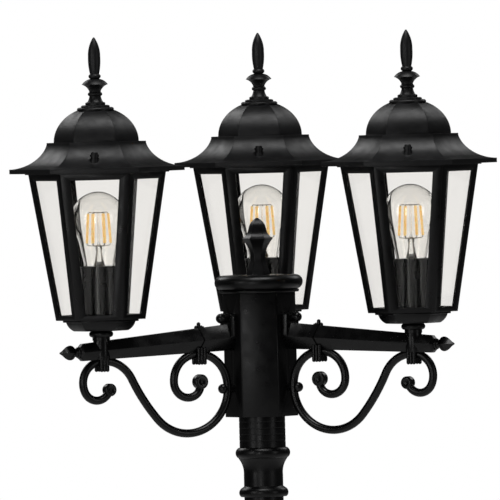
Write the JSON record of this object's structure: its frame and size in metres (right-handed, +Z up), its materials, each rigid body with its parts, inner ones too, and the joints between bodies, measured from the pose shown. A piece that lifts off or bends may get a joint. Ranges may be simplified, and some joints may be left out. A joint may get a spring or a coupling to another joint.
{
  "type": "triple head lamp post",
  "caption": "Garden lamp post: six-sided lanterns with clear panes and filament lamps on scrolled arms round a six-sided hub, on a turned column with a bell-shaped foot.",
  "frame": {"origin": "centre of the underside of the base pedestal, on the post's axis", "axes": "+Z up along the post; -Y to the front, between the left and right arms; the rear arm points along +Y"},
  "size_m": [0.5318, 0.4605, 2.2001],
  "materials": {
    "post_black": "satin powder coat on cast aluminium, fine mottling",
    "arm_black": "satin to gloss powder coat on cast aluminium",
    "roof_grey": "dark satin powder coat, slight texture",
    "pane_glass": "clear flat glass",
    "lamp_glass": "clear blown glass",
    "filament_amber": "amber coated filaments on a clear glass mount",
    "cap_metal": "bright rolled screw cap",
    "contact_brass": "bright",
    "holder_black": "satin moulding",
    "block_plastic": "light moulding",
    "cable_rubber": "matt sheath",
    "gland_plastic": "matt moulding"
  },
  "bodies": {
    "post": {"arm_flange_bolts": "arm_black", "arm_left": "arm_black", "arm_rear": "arm_black", "arm_right": "arm_black", "arm_tips": "arm_black", "base_pedestal": "post_black", "cable_gland": "gland_plastic", "column_knuckle": "post_black", "gland_plate": "post_black", "glass_panes_left": "pane_glass", "glass_panes_rear": "pane_glass", "glass_panes_right": "pane_glass", "hub_body": "post_black", "hub_cap": "post_black", "hub_finial": "post_black", "lamp_leads": "cable_rubber", "lampholder_contacts": "contact_brass", "lampholder_left": "holder_black", "lampholder_rear": "holder_black", "lampholder_right": "holder_black", "lantern_base_left": "post_black", "lantern_base_rear": "post_black", "lantern_base_right": "post_black", "lantern_cage_left": "post_black", "lantern_cage_rear": "post_black", "lantern_cage_right": "post_black", "lantern_stem_left": "post_black", "lantern_stem_rear": "post_black", "lantern_stem_right": "post_black", "lower_column": "post_black", "neck_vase": "post_black", "scroll_knobs": "arm_black", "scroll_left": "arm_black", "scroll_rear": "arm_black", "scroll_right": "arm_black", "straps_left": "arm_black", "straps_rear": "arm_black", "straps_right": "arm_black", "supply_cable": "cable_rubber", "terminal_block": "block_plastic", "upper_column": "post_black"},
    "roof_left": {"roof_left": "roof_grey", "roof_screws_left": "roof_grey", "roof_finial_left": "roof_grey"},
    "lamp_left": {"bulb_glass_left": "lamp_glass", "bulb_filaments_left": "filament_amber", "bulb_cap_left": "cap_metal"},
    "roof_right": {"roof_right": "roof_grey", "roof_screws_right": "roof_grey", "roof_finial_right": "roof_grey"},
    "lamp_right": {"bulb_glass_right": "lamp_glass", "bulb_filaments_right": "filament_amber", "bulb_cap_right": "cap_metal"},
    "roof_rear": {"roof_rear": "roof_grey", "roof_screws_rear": "roof_grey", "roof_finial_rear": "roof_grey"},
    "lamp_rear": {"bulb_glass_rear": "lamp_glass", "bulb_filaments_rear": "filament_amber", "bulb_cap_rear": "cap_metal"}
  },
  "joints": [
    {"name": "roof_lift_left", "type": "slide", "parent": "post", "child": "roof_left", "axis": [0, 0, 1], "range_m": [0, 0.12]},
    {"name": "bulb_turn_left", "type": "hinge", "parent": "post", "child": "lamp_left", "pos_m": [-0.17017, -0.09825, 1.932], "axis": [0, 0, 1], "range_deg": [0, 1080]},
    {"name": "roof_lift_right", "type": "slide", "parent": "post", "child": "roof_right", "axis": [0, 0, 1], "range_m": [0, 0.12]},
    {"name": "bulb_turn_right", "type": "hinge", "parent": "post", "child": "lamp_right", "pos_m": [0.17017, -0.09825, 1.932], "axis": [0, 0, 1], "range_deg": [0, 1080]},
    {"name": "roof_lift_rear", "type": "slide", "parent": "post", "child": "roof_rear", "axis": [0, 0, 1], "range_m": [0, 0.12]},
    {"name": "bulb_turn_rear", "type": "hinge", "parent": "post", "child": "lamp_rear", "pos_m": [0, 0.1965, 1.932], "axis": [0, 0, 1], "range_deg": [0, 1080]}
  ]
}
